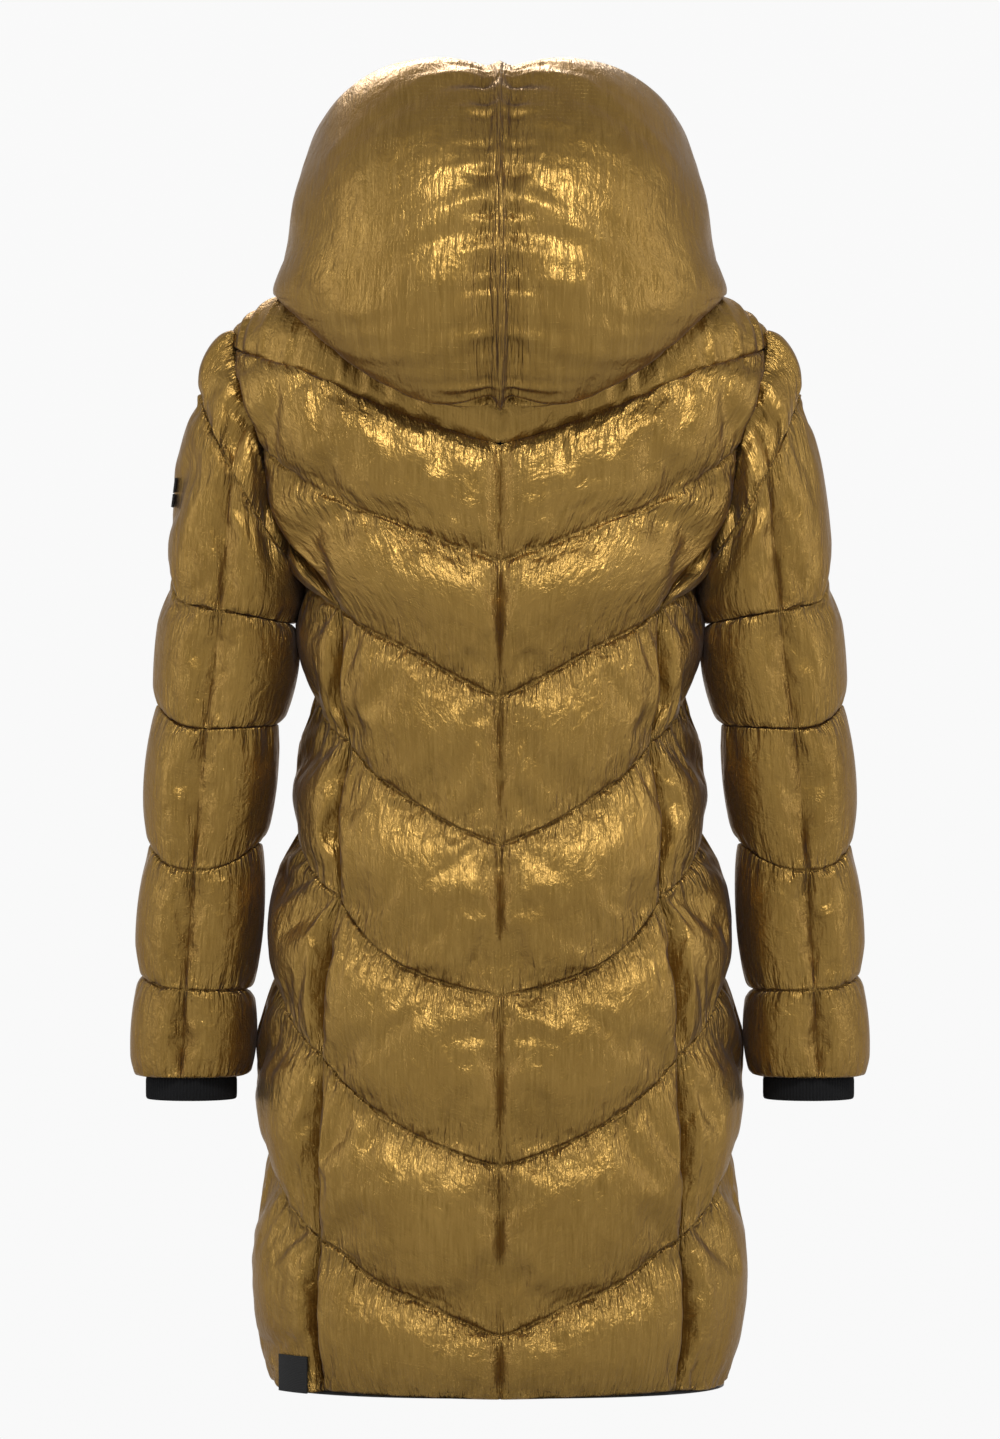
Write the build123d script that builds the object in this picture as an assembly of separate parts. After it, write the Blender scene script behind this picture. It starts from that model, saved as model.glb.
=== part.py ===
"""Knee-length quilted winter coat with a large padded hood, as it hangs on a wearer.

Lengths are in millimetres. The model is laid out by height above the hem, with the
coat's front towards -Y and the wearer's left towards +X. Each soft panel is a stack of
three layers: the outer shell, the wadding and the lining. At the end every piece is
moved so that the origin is the point where the hanger loop carries the coat.
"""

from build123d import *
import os
from math import acos, asin, atan2, cos, degrees, hypot, pi, radians, sin, tan

# Layers, measured inwards from the outer surface.
SHELL = 1.5
WADDING = 18.0
LINING = 1.5
WADDING_END = SHELL + WADDING
LINING_END = WADDING_END + LINING
HOOD_WADDING = 21.0

# Body: height above the hem, half width, depth behind the side seams, squareness.
BODY_STATIONS = [
    (0, 207, 150, 2.4),
    (110, 209, 152, 2.4),
    (220, 208, 150, 2.4),
    (306, 207, 147, 2.4),
    (365, 203, 143, 2.4),
    (453, 190, 136, 2.4),
    (510, 177, 131, 2.4),
    (590, 168, 128, 2.5),
    (654, 171, 130, 2.6),
    (706, 172, 131, 2.7),
    (742, 175, 130, 2.8),
    (766, 190, 129, 2.9),
    (825, 208, 124, 3.0),
    (877, 226, 114, 3.0),
    (905, 228, 106, 2.9),
    (925, 212, 99, 2.8),
    (945, 176, 92, 2.6),
    (965, 132, 84, 2.5),
    (1010, 92, 76, 2.4),
]
PRINCESS_LINE = [
    (0, 153.6),
    (206, 156),
    (306, 154),
    (365, 149),
    (431, 139),
    (510, 134.5),
    (602, 134),
    (678, 140),
    (721, 160),
    (766, 188),
]
FRONT_PRINCESS_SHARE = 0.7
FRONT_DEPTH = 150.0
FRONT_LEAN = 0.012
NECK_FRONT_HEIGHT = 905.0
NECK_BACK_HEIGHT = 975.0
ZIP_HALF_GAP = 9.0

# Sleeve: height above the hem, centre x, half width, half depth.
SLEEVE_STATIONS = [
    (272, 271.5, 49, 57),
    (344, 268, 49, 58),
    (404, 264, 52, 60),
    (470, 259, 51, 60),
    (535, 254, 53, 62),
    (588, 248, 54, 64),
    (640, 240, 58, 67),
    (703, 235, 58, 71),
    (766, 230, 58, 76),
    (806, 222, 61, 80),
    (840, 212, 61, 82),
    (870, 206, 61, 79),
    (892, 200, 58, 70),
    (906, 198, 51, 58),
    (915, 200, 40, 42),
]
SLEEVE_HEM = SLEEVE_STATIONS[0][0]
ARMHOLE_TOP = (229.0, 916.0)
ARMHOLE_BOTTOM = (178.0, 742.0)
ARMHOLE_GAP = 0.8
ARM_OPENING = (825.0, 66.0, 54.0)
ELBOW_HEIGHT = 535.0
ELBOW_PIVOT_Y = -25.0
ELBOW_MAX = 50.0
JOINT_GAP = 0.6
CUFF_REACH = 325.0
CUFF_SHOWS = 20.5
CUFF_THICKNESS = 3.0
CUFF_HALF_WIDTH = 40.0
CUFF_HALF_DEPTH = 46.0

# Hood: centre-seam point (y, height), height of the front point, half width, squareness.
HOOD_ROWS = [
    ((150, 856), 880, 190, 2.2),
    ((178, 905), 905, 203, 2.2),
    ((187, 954), 935, 205, 2.2),
    ((180, 1010), 960, 196, 2.3),
    ((162, 1062), 975, 187, 2.4),
    ((130, 1110), 983, 178, 2.5),
    ((82, 1147), 989, 172, 2.6),
    ((20, 1167), 994, 166, 2.8),
    ((-48, 1171), 998, 160, 2.8),
    ((-112, 1163), 1002, 150, 2.7),
]
HOOD_SPLIT_ROW = 3
HOOD_PIVOT_Y = 30.0
HOOD_FRONT_GAP = 0.5

# Front zip.
ZIP_BOTTOM = 14.0
ZIP_TOP = 955.0
ZIP_RECESS = 4.0
TAPE_THICKNESS = 1.0
TOOTH_PITCH = 5.0
TOOTH_HEIGHT = 2.2
TOOTH_DEPTH = 3.0
TOOTH_OVER = 1.4
TAPE_INNER_X = 2.4
TAPE_OUTER_X = 8.2
SLIDER_LENGTH = 15.0
SLIDER_WIDTH = 11.0
SLIDER_PLATE = 1.4
SLIDER_THROAT = 4.0
PULL_LENGTH = 38.0
PULL_WIDTH = 8.0
PULL_THICKNESS = 2.0

# Side pockets: the ends of each straight zip (x, height); it stands on the front.
POCKET_TOP = (128.0, 430.0)
POCKET_BOTTOM = (150.0, 285.0)
POCKET_LIFT = 3.0
POCKET_BAG_DROP = 60.0

# The coat hangs from the middle of this loop, inside the back of the neck.
LOOP_Y = 56.0
LOOP_END_Y = 68.4
LOOP_HEIGHT = 968.0
LOOP_SPAN = 60.0
LOOP_WIDTH = 8.0
LOOP_THICKNESS = 2.0

ARC_POINTS = 7


def power(value, exponent):
    """|value| ** exponent with the sign of value."""
    return abs(value) ** exponent * (1 if value >= 0 else -1)


def front_y(height):
    """Where the coat's centre front stands at a height above the hem."""
    return -(FRONT_DEPTH - FRONT_LEAN * height)


def between(table, height):
    """The row of a station table at a height, by straight interpolation."""
    for low, high in zip(table, table[1:]):
        if low[0] <= height <= high[0]:
            share = (height - low[0]) / (high[0] - low[0])
            rest = [a + share * (b - a) for a, b in zip(low[1:], high[1:])]
            return (height, *rest)
    raise ValueError(height)


def levels_of(table, low, high):
    """The heights of a table's stations between two heights, with both ends."""
    inside = [row[0] for row in table if low + 1 < row[0] < high - 1]
    return [low, *inside, high]


def angles(start, end):
    return [start + (end - start) * i / ARC_POINTS for i in range(ARC_POINTS + 1)]


def plate_wire(outer, inner):
    """A closed outline from an outer row of points and an inner one."""
    return Wire(
        [
            Edge.make_spline([Vector(*point) for point in outer]),
            Edge.make_line(outer[-1], inner[-1]),
            Edge.make_spline([Vector(*point) for point in reversed(inner)]),
            Edge.make_line(inner[0], outer[0]),
        ]
    )


# ---------------------------------------------------------------- shapes


def body_angle(station, x, back):
    """The angle at which the body's outline passes x, behind or in front."""
    reach = min(1.0, abs(x) / station[1])
    angle = acos(reach ** (station[3] / 2))
    if x < 0:
        angle = pi - angle
    return angle if back else -angle


def body_row(station, inset, start, end):
    height, half_width, depth, squareness = station
    row = []
    for angle in angles(start, end):
        side = -front_y(height) if angle < 0 or end < 0 else depth
        x = (half_width - inset) * power(cos(angle), 2 / squareness)
        y = (side - inset) * power(sin(angle), 2 / squareness)
        row.append((x, y, height))
    return row


def body_piece(outer, inner, start_x, end_x, back, low, high):
    """One layer of the body between two vertical lines, each a function of height.

    None stands for the side line, where the back and the front meet.
    """
    wires = []
    for height in levels_of(BODY_STATIONS, low, high):
        station = between(BODY_STATIONS, height)
        ends = [
            0.0 if line is None else body_angle(station, line(height), back)
            for line in (start_x, end_x)
        ]
        rows = [body_row(station, inset, *ends) for inset in (outer, inner)]
        wires.append(plate_wire(*rows))
    return Solid.make_loft(wires, ruled=True)


def filled_body(inset, low, high):
    wires = []
    for height in levels_of(BODY_STATIONS, low, high):
        station = between(BODY_STATIONS, height)
        rows = [body_row(station, inset, a, b) for a, b in ((0, pi / 2), (pi / 2, pi))]
        front = [body_row(station, inset, a, b) for a, b in ((-pi, -pi / 2), (-pi / 2, 0))]
        edges = [
            Edge.make_spline([Vector(*point) for point in row]) for row in rows + front
        ]
        wires.append(Wire(edges))
    return Solid.make_loft(wires, ruled=True)


def sleeve_row(station, inset, start, end):
    height, centre_x, half_width, half_depth = station
    row = []
    for angle in angles(start, end):
        x = centre_x + (half_width - inset) * power(cos(angle), 2 / 2.2)
        y = (half_depth - inset) * power(sin(angle), 2 / 2.2)
        row.append((x, y, height))
    return row


def sleeve_piece(outer, inner, start, end, low, high):
    """One layer of the left sleeve between two angles around it."""
    wires = []
    for height in levels_of(SLEEVE_STATIONS, low, high):
        station = between(SLEEVE_STATIONS, height)
        rows = [sleeve_row(station, inset, start, end) for inset in (outer, inner)]
        wires.append(plate_wire(*rows))
    return Solid.make_loft(wires, ruled=True)


def hood_row(row, inset, front_gap, lift=0.0):
    """One tilted half oval of the hood, from its centre seam to its front edge."""
    (back_y, back_height), front_height, half_width, squareness = row
    front = (front_y(front_height), front_height)
    chord = hypot(back_y - front[0], back_height - front[1])
    along = ((back_y - front[0]) / chord, (back_height - front[1]) / chord)
    centre = ((back_y + front[0]) / 2, (back_height + front[1]) / 2 + lift)
    last = pi - asin((front_gap / (half_width - inset)) ** (squareness / 2))
    points = []
    count = 2 * ARC_POINTS
    for i in range(count + 1):
        angle = last * i / count
        x = (half_width - inset) * power(sin(angle), 2 / squareness)
        reach = (chord / 2 - inset) * power(cos(angle), 2 / squareness)
        points.append((x, centre[0] + reach * along[0], centre[1] + reach * along[1]))
    return points


def hood_piece(outer, inner, rows, front_gap, lifts):
    wires = []
    for row, lift in zip(rows, lifts):
        pair = [hood_row(row, inset, front_gap, lift) for inset in (outer, inner)]
        wires.append(plate_wire(*pair))
    return Solid.make_loft(wires, ruled=True)


def slab(x, y, z):
    """A box between pairs of limits along each axis."""
    size = (x[1] - x[0], y[1] - y[0], z[1] - z[0])
    corner = Box(*size, align=(Align.MIN, Align.MIN, Align.MIN))
    return Pos(x[0], y[0], z[0]) * corner


def prism_along_x(points, x):
    """A prism over x limits whose outline is given as (y, height) points."""
    outline = Polyline(*[(x[0], y, height) for y, height in points], close=True)
    return extrude(make_face(outline), amount=x[1] - x[0], dir=(1, 0, 0))


def prism_along_y(points, y):
    """A prism over y limits whose outline is given as (x, height) points."""
    outline = Polyline(*[(x, y[0], height) for x, height in points], close=True)
    return extrude(make_face(outline), amount=y[1] - y[0], dir=(0, 1, 0))


def mirrored(shape):
    return mirror(shape, about=Plane.YZ)


pieces = {}


def add(name, *shapes):
    """Keeps a node as its solids, at their height above the hem."""
    pieces[name] = [solid for shape in shapes for solid in shape.solids()]


def add_pair(name, *shapes):
    """The wearer's left-hand piece and its mirror image. name holds SIDE."""
    add(name.replace("SIDE", "left"), *shapes)
    add(name.replace("SIDE", "right"), *[mirrored(shape) for shape in shapes])


# ---------------------------------------------------------------- body

HEM, PRINCESS_TOP, CROWN = 0.0, 766.0, 1010.0


def princess_x(height):
    return between(PRINCESS_LINE, height)[1]


def front_princess_x(height):
    return princess_x(height) * FRONT_PRINCESS_SHARE


def centre_back(height):
    return 0.0


def front_edge(height):
    return ZIP_HALF_GAP


neck_rise = NECK_BACK_HEIGHT - NECK_FRONT_HEIGHT
neck_slope = neck_rise / (80 - front_y(NECK_FRONT_HEIGHT))


def neck_line(y):
    return NECK_BACK_HEIGHT + neck_slope * (y - 80)


above_neck = prism_along_x(
    [(-300, neck_line(-300)), (300, neck_line(300)), (300, 1500), (-300, 1500)],
    (-600, 600),
)
arm_slope = (ARMHOLE_TOP[0] - ARMHOLE_BOTTOM[0]) / (ARMHOLE_TOP[1] - ARMHOLE_BOTTOM[1])


def beyond_armhole(gap, lowest):
    """Everything on the sleeve's side of the left armhole's slanted plane."""
    low_x, low_height = ARMHOLE_BOTTOM
    high = ARMHOLE_TOP[1] + 40
    return prism_along_y(
        [
            (low_x + gap, lowest),
            (low_x + gap, low_height),
            (ARMHOLE_TOP[0] + 40 * arm_slope + gap, high),
            (500, high),
            (500, lowest),
        ],
        (-200, 200),
    )


arm_height, arm_half_height, arm_half_depth = ARM_OPENING
arm_opening = extrude(
    Plane((140, 0, arm_height), x_dir=(0, 1, 0), z_dir=(1, 0, 0))
    * Ellipse(arm_half_depth, arm_half_height),
    amount=200,
)
armhole = beyond_armhole(-ARMHOLE_GAP, ARMHOLE_BOTTOM[1] - 40)


def below_neck(shape):
    return shape - above_neck


def with_armhole(shape):
    return below_neck(shape) - armhole - arm_opening


LAYERS = (("shell", 0, SHELL), ("wadding", SHELL, WADDING_END), ("lining", WADDING_END, LINING_END))
body_layers = {}
for layer, outer, inner in LAYERS:
    low_back = body_piece(outer, inner, centre_back, princess_x, True, HEM, PRINCESS_TOP)
    top_back = body_piece(outer, inner, centre_back, None, True, PRINCESS_TOP, CROWN)
    side_back = body_piece(outer, inner, princess_x, None, True, HEM, PRINCESS_TOP)
    side_front = body_piece(outer, inner, None, front_princess_x, False, HEM, PRINCESS_TOP)
    low_front = body_piece(outer, inner, front_princess_x, front_edge, False, HEM, PRINCESS_TOP)
    top_front = body_piece(outer, inner, None, front_edge, False, PRINCESS_TOP, CROWN)
    body_layers[layer] = {
        "back": [low_back - armhole, with_armhole(top_back)],
        "side_back": [side_back - armhole - arm_opening],
        "side_front": [side_front - armhole - arm_opening],
        "front": [low_front - armhole, with_armhole(top_front)],
    }

for panel in ("back", "side_back", "side_front", "front"):
    add_pair(f"SIDE_{panel}_shell", *body_layers["shell"][panel])
wadding = body_layers["wadding"]
add_pair("SIDE_back_wadding", *wadding["back"], *wadding["side_back"])
add_pair("SIDE_front_wadding", *wadding["side_front"], *wadding["front"])
lining = body_layers["lining"]
half_back_lining = [*lining["back"], *lining["side_back"]]
add("back_lining", *half_back_lining, *[mirrored(shape) for shape in half_back_lining])
add_pair("SIDE_front_lining", *lining["side_front"], *lining["front"])

# ---------------------------------------------------------------- sleeves

outside_armhole = beyond_armhole(ARMHOLE_GAP, 200)
elbow_drop = tan(radians(ELBOW_MAX + 3)) * (200 + ELBOW_PIVOT_Y)
# The lower sleeve leaves room in front of the elbow for the bend.
below_elbow = prism_along_x(
    [
        (ELBOW_PIVOT_Y, ELBOW_HEIGHT - JOINT_GAP),
        (200, ELBOW_HEIGHT - JOINT_GAP),
        (200, 200),
        (-200, 200),
        (-200, ELBOW_HEIGHT - JOINT_GAP - elbow_drop),
    ],
    (100, 400),
)
sleeve_panels = {"outer": (-pi / 2, pi / 2), "inner": (pi / 2, 3 * pi / 2)}
sleeve_crown = SLEEVE_STATIONS[-1][0]
for half, low, high, limit in (
    ("upper", ELBOW_HEIGHT + JOINT_GAP, sleeve_crown, outside_armhole),
    ("lower", SLEEVE_HEM, ELBOW_HEIGHT - JOINT_GAP, below_elbow),
):
    sleeve_layers = {}
    for layer, outer, inner in LAYERS:
        for panel, (start, end) in sleeve_panels.items():
            shape = sleeve_piece(outer, inner, start, end, low, high)
            sleeve_layers[layer, panel] = shape & limit
    add_pair(f"SIDE_{half}_sleeve_outer_shell", sleeve_layers["shell", "outer"])
    add_pair(f"SIDE_{half}_sleeve_inner_shell", sleeve_layers["shell", "inner"])
    for layer in ("wadding", "lining"):
        halves = [sleeve_layers[layer, panel] for panel in sleeve_panels]
        add_pair(f"SIDE_{half}_sleeve_{layer}", *halves)

# A knitted cuff: the part that shows, a flat turn, and the part inside the lining.
cuff_centre = SLEEVE_STATIONS[0][1]
cuff_outline = Ellipse(CUFF_HALF_WIDTH, CUFF_HALF_DEPTH)
cuff_hole = Ellipse(CUFF_HALF_WIDTH - CUFF_THICKNESS, CUFF_HALF_DEPTH - CUFF_THICKNESS)
inner_half_width = SLEEVE_STATIONS[0][2] - LINING_END - CUFF_THICKNESS
inner_half_depth = SLEEVE_STATIONS[0][3] - LINING_END - CUFF_THICKNESS
cuff_tube = extrude(cuff_outline - cuff_hole, amount=CUFF_SHOWS - 0.3)
turn = cuff_outline - Ellipse(inner_half_width - 0.6, inner_half_depth - 0.6)
cuff_turn = Pos(0, 0, CUFF_SHOWS - 0.3 - CUFF_THICKNESS) * extrude(turn, amount=CUFF_THICKNESS)
cuff_low = Pos(cuff_centre, 0, SLEEVE_HEM - CUFF_SHOWS) * (cuff_tube + cuff_turn)
cuff_high = [
    sleeve_piece(
        LINING_END + 0.3, LINING_END + CUFF_THICKNESS, start, end, SLEEVE_HEM, CUFF_REACH
    )
    for start, end in sleeve_panels.values()
]
add_pair("SIDE_rib_cuff", cuff_low, *cuff_high)

# ---------------------------------------------------------------- hood

turning_rows = HOOD_ROWS[HOOD_SPLIT_ROW:]
base_rows = HOOD_ROWS[: HOOD_SPLIT_ROW + 1]
HOOD_LAYERS = (
    ("shell", 0, SHELL),
    ("wadding", SHELL, SHELL + HOOD_WADDING),
    ("lining", SHELL + HOOD_WADDING, SHELL + HOOD_WADDING + LINING),
)
no_lift = [0.0] * len(turning_rows)
hood_layers = {
    layer: hood_piece(outer, inner, turning_rows, HOOD_FRONT_GAP, no_lift)
    for layer, outer, inner in HOOD_LAYERS
}
add_pair("hood_SIDE_shell", hood_layers["shell"])
add_pair("hood_SIDE_wadding", hood_layers["wadding"])
add("hood_lining", hood_layers["lining"], mirrored(hood_layers["lining"]))

base_lifts = [0.0] * (len(base_rows) - 1) + [-JOINT_GAP]
drape = hood_piece(0, SHELL + HOOD_WADDING + LINING, base_rows, ZIP_HALF_GAP, base_lifts)
yoke = filled_body(-JOINT_GAP, 700, CROWN) - Pos(0, 0, JOINT_GAP) * above_neck
add_pair("hood_SIDE_drape", drape - yoke)

# ---------------------------------------------------------------- front zip


def on_zip(height, out=0.0):
    """A point of the zip's own line, moved out from the coat's front."""
    return (0, front_y(height) + ZIP_RECESS - out, height)


zip_tilt = degrees(atan2(FRONT_LEAN, 1))
zip_length = ZIP_TOP - ZIP_BOTTOM


def zip_place(height):
    """Puts a shape on the zip's line: its +Z runs up the zip and its -Y points out."""
    return Location(on_zip(height), (-zip_tilt, 0, 0))


tape = slab(
    (TAPE_INNER_X, TAPE_OUTER_X),
    (-TAPE_THICKNESS / 2, TAPE_THICKNESS / 2),
    (0, zip_length),
)
add_pair("front_zip_SIDE_tape", zip_place(ZIP_BOTTOM) * tape)

tooth = slab(
    (-TOOTH_OVER, TAPE_INNER_X),
    (-TOOTH_DEPTH / 2, TOOTH_DEPTH / 2),
    (-TOOTH_HEIGHT / 2, TOOTH_HEIGHT / 2),
)
tooth = chamfer(tooth.edges().filter_by(Axis.Y).group_by(Axis.X)[0], 0.5)
tooth_count = int((zip_length - 3 * TOOTH_PITCH) / TOOTH_PITCH)


def teeth(side, offset):
    row = []
    for i in range(tooth_count):
        height = ZIP_BOTTOM + 1.5 * TOOTH_PITCH + i * TOOTH_PITCH + offset
        row.append(zip_place(height) * side)
    return row


add("front_zip_left_teeth", *teeth(tooth, 0))
stop = zip_place(ZIP_BOTTOM + 2.5) * Box(4.6, TOOTH_DEPTH, 4.0)
right_teeth = teeth(mirrored(tooth), TOOTH_PITCH / 2)
add("front_zip_right_teeth", stop, *right_teeth)


def zip_slider(width, length, throat, lug):
    """A slider's two plates, its post and the lug that holds the pull."""
    plate = RectangleRounded(width, length, width * 0.3)
    front = extrude(plate, amount=SLIDER_PLATE)
    front = front.moved(Location((0, 0, throat / 2)))
    back = extrude(plate, amount=SLIDER_PLATE)
    back = back.moved(Location((0, 0, -throat / 2 - SLIDER_PLATE)))
    post = Pos(0, length / 2 - 2.0, 0) * Box(1.6, 3.0, throat)
    arch = Pos(0, 0, throat / 2 + SLIDER_PLATE + lug / 2) * Box(2.4, length * 0.55, lug)
    eye = Pos(0, 0, throat / 2 + SLIDER_PLATE + lug / 2) * Rot(0, 90, 0)
    arch = arch - eye * Cylinder(lug * 0.28, 4)
    return front + back + post + arch


def zip_pull(length, width, thickness, eye_radius, lug_width):
    """A flat pull. Its hinge pin lies on the origin, and it hangs towards -Y."""
    pin = Rot(0, 90, 0) * Cylinder(eye_radius, width * 0.86)
    arm = Pos(width / 2 - 1.1, -3.0, 0) * Box(2.0, 8.0, thickness)
    other = Pos(-width / 2 + 1.1, -3.0, 0) * Box(2.0, 8.0, thickness)
    blade = extrude(RectangleRounded(width, length - 6, width * 0.35), amount=thickness)
    blade = blade.moved(Location((0, -length / 2 - 3.0, -thickness / 2)))
    hole = Pos(0, -length + 5.0, 0) * Cylinder(width * 0.2, thickness * 2)
    assert lug_width < width - 4.2
    return pin + arm + other + blade - hole


LUG = 4.2
PIN_RADIUS = LUG * 0.28 - 0.05
slider_height = ZIP_TOP - SLIDER_LENGTH / 2 - 1.0
# Slider shapes are drawn flat, with +Y up the zip and +Z out of the coat.
stand_up = Rot(90, 0, 0)
front_slider = zip_slider(SLIDER_WIDTH, SLIDER_LENGTH, SLIDER_THROAT, LUG)
add("front_zip_slider", zip_place(slider_height) * stand_up * front_slider)
pull_out = SLIDER_THROAT / 2 + SLIDER_PLATE + LUG / 2
front_pull = zip_pull(PULL_LENGTH, PULL_WIDTH, PULL_THICKNESS, PIN_RADIUS, 2.4)
add(
    "front_zip_pull",
    zip_place(slider_height) * stand_up * Pos(0, 0, pull_out) * front_pull,
)

add(
    "wind_flap",
    body_piece(
        LINING_END + 1.0,
        LINING_END + 3.0,
        lambda height: 34.0,
        lambda height: -14.0,
        False,
        20.0,
        880.0,
    ),
)

# ---------------------------------------------------------------- pockets


def front_surface_y(x, height):
    """How far forward the coat's front stands at x."""
    station = between(BODY_STATIONS, height)
    flat = 1 - (abs(x) / station[1]) ** station[3]
    return front_y(height) * flat ** (1 / station[3])


pocket_low = Vector(
    POCKET_BOTTOM[0], front_surface_y(*POCKET_BOTTOM), POCKET_BOTTOM[1]
)
pocket_high = Vector(POCKET_TOP[0], front_surface_y(*POCKET_TOP), POCKET_TOP[1])
pocket_up = (pocket_high - pocket_low).normalized()
pocket_length = (pocket_high - pocket_low).length
middle_height = (POCKET_BOTTOM[1] + POCKET_TOP[1]) / 2
middle_x = (POCKET_BOTTOM[0] + POCKET_TOP[0]) / 2
across = Vector(1, 0, 0) * 10 + Vector(
    0,
    front_surface_y(middle_x + 5, middle_height)
    - front_surface_y(middle_x - 5, middle_height),
    0,
)
pocket_out = across.cross(pocket_up).normalized()
if pocket_out.Y > 0:
    pocket_out = -pocket_out
pocket_across = pocket_up.cross(pocket_out).normalized()
# The pocket zip's own frame: X across it, Y up it, Z out of the coat.
pocket_middle = (pocket_low + pocket_high) * 0.5 + pocket_out * POCKET_LIFT
pocket_plane = Plane(origin=pocket_middle, x_dir=pocket_across, z_dir=pocket_out)
pocket_place = Location(pocket_plane)

welt_frame = Box(20, pocket_length + 16, 3.0)
welt_frame = welt_frame - Box(7.0, pocket_length, 4.0)
welt_frame = fillet(welt_frame.edges().filter_by(Axis.Z), 1.2)
chain = Box(4.4, pocket_length - 0.4, 1.6) - Box(1.9, pocket_length, 2)
POCKET_SLIDER = (8.0, 11.0, 2.4)
pocket_slider_y = pocket_length / 2 - POCKET_SLIDER[1] / 2 - 1.0
pocket_slider = zip_slider(6.4, POCKET_SLIDER[1], POCKET_SLIDER[2], 3.4)
POCKET_PIN_RADIUS = 3.4 * 0.28 - 0.05
pocket_pull = zip_pull(26.0, 7.2, 1.6, POCKET_PIN_RADIUS, 2.4)
pocket_pull_out = POCKET_SLIDER[2] / 2 + SLIDER_PLATE + 3.4 / 2

# The welt and its chain stand in a shallow recess of the panel.
pocket_recess = pocket_place * Pos(0, 0, -2) * Box(20.6, pocket_length + 16.6, 22)


def pocket_piece(shape):
    return pocket_place * shape


add_pair("SIDE_pocket_welt", pocket_piece(welt_frame))
add_pair("SIDE_pocket_zip_chain", pocket_piece(chain))
add_pair("SIDE_pocket_zip_slider", pocket_piece(Pos(0, pocket_slider_y, 0) * pocket_slider))
add_pair(
    "SIDE_pocket_zip_pull",
    pocket_piece(Pos(0, pocket_slider_y, pocket_pull_out) * pocket_pull),
)
for side in ("left", "right"):
    recess = pocket_recess if side == "left" else mirrored(pocket_recess)
    for node in (f"{side}_side_front_shell", f"{side}_front_shell", f"{side}_front_wadding"):
        add(node, *[solid - recess for solid in pieces[node]])

add_pair(
    "SIDE_pocket_bag",
    body_piece(
        LINING_END + 1.0,
        LINING_END + 4.0,
        lambda height: 150.0,
        lambda height: 60.0,
        False,
        POCKET_BOTTOM[1] - POCKET_BAG_DROP,
        POCKET_TOP[1],
    ),
)

# ---------------------------------------------------------------- trims

# A small woven label on the back of the hem, at the wearer's left.
add(
    "hem_label",
    body_piece(
        -1.6, -0.5, lambda height: 166.0, lambda height: 191.0, True, 2.0, 34.0
    ),
)
# A badge of two small tabs on the outside of the wearer's left sleeve.
badge_span = radians(12)
badge_tabs = [
    sleeve_piece(-2.0, -0.5, -badge_span, badge_span, low, high)
    for low, high in ((784.5, 797.0), (772.0, 783.0))
]
add("sleeve_badge", *badge_tabs)

loop_arc = ThreePointArc(
    (-LOOP_SPAN / 2, LOOP_END_Y, LOOP_HEIGHT - 24),
    (0, LOOP_Y, LOOP_HEIGHT + LOOP_THICKNESS / 2),
    (LOOP_SPAN / 2, LOOP_END_Y, LOOP_HEIGHT - 24),
)
loop_start = Plane(origin=loop_arc @ 0, z_dir=loop_arc % 0, x_dir=(0, 1, 0))
loop_strip = sweep(loop_start * Rectangle(LOOP_THICKNESS, LOOP_WIDTH), path=loop_arc)
add("hanger_loop", loop_strip)

# ---------------------------------------------------------------- export

os.makedirs("parts", exist_ok=True)
to_origin = Location((0, -LOOP_Y, -LOOP_HEIGHT))
for name, solids in pieces.items():
    moved = [solid.moved(to_origin) for solid in solids]
    node = Compound(children=moved) if len(moved) > 1 else moved[0]
    export_step(node, f"parts/{name}.step")
print(len(pieces), "nodes")
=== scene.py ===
"""The looks of a quilted, hooded winter coat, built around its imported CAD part.

The coat is worked out in millimetres: x to the wearer's left, y to the back, z up from
the hem. Each quilted piece is a grid that follows its seams and stitch lines. A formula
draws its puffs. Blender's cloth then moves the fabric between the stitched points, which
are held, by a few millimetres.
"""

import math

import bpy
import numpy as np
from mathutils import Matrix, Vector


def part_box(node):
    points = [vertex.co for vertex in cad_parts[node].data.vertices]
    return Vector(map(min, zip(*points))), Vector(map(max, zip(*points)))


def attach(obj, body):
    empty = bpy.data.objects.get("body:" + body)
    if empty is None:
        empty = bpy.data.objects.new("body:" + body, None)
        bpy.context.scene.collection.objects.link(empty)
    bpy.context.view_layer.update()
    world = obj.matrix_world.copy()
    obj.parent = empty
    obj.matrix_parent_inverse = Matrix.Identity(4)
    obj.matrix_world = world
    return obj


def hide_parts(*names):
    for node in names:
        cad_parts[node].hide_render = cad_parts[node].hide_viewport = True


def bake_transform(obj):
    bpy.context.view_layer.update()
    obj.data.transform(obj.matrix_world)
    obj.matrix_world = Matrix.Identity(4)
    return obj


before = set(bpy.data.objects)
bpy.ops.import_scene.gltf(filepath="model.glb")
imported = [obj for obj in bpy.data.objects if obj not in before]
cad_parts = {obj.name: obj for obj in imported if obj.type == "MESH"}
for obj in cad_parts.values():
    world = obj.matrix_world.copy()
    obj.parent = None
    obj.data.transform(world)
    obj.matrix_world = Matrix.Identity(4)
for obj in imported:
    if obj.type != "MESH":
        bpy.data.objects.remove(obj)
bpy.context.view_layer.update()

# Where the coat's own zero lies in the frame: the side line and the hem.
SIDE_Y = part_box("left_side_back_shell")[0][1]
HEM_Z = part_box("left_back_shell")[0][2]
FRAMES = 18

# ---------------------------------------------------------------- numbers


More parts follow.
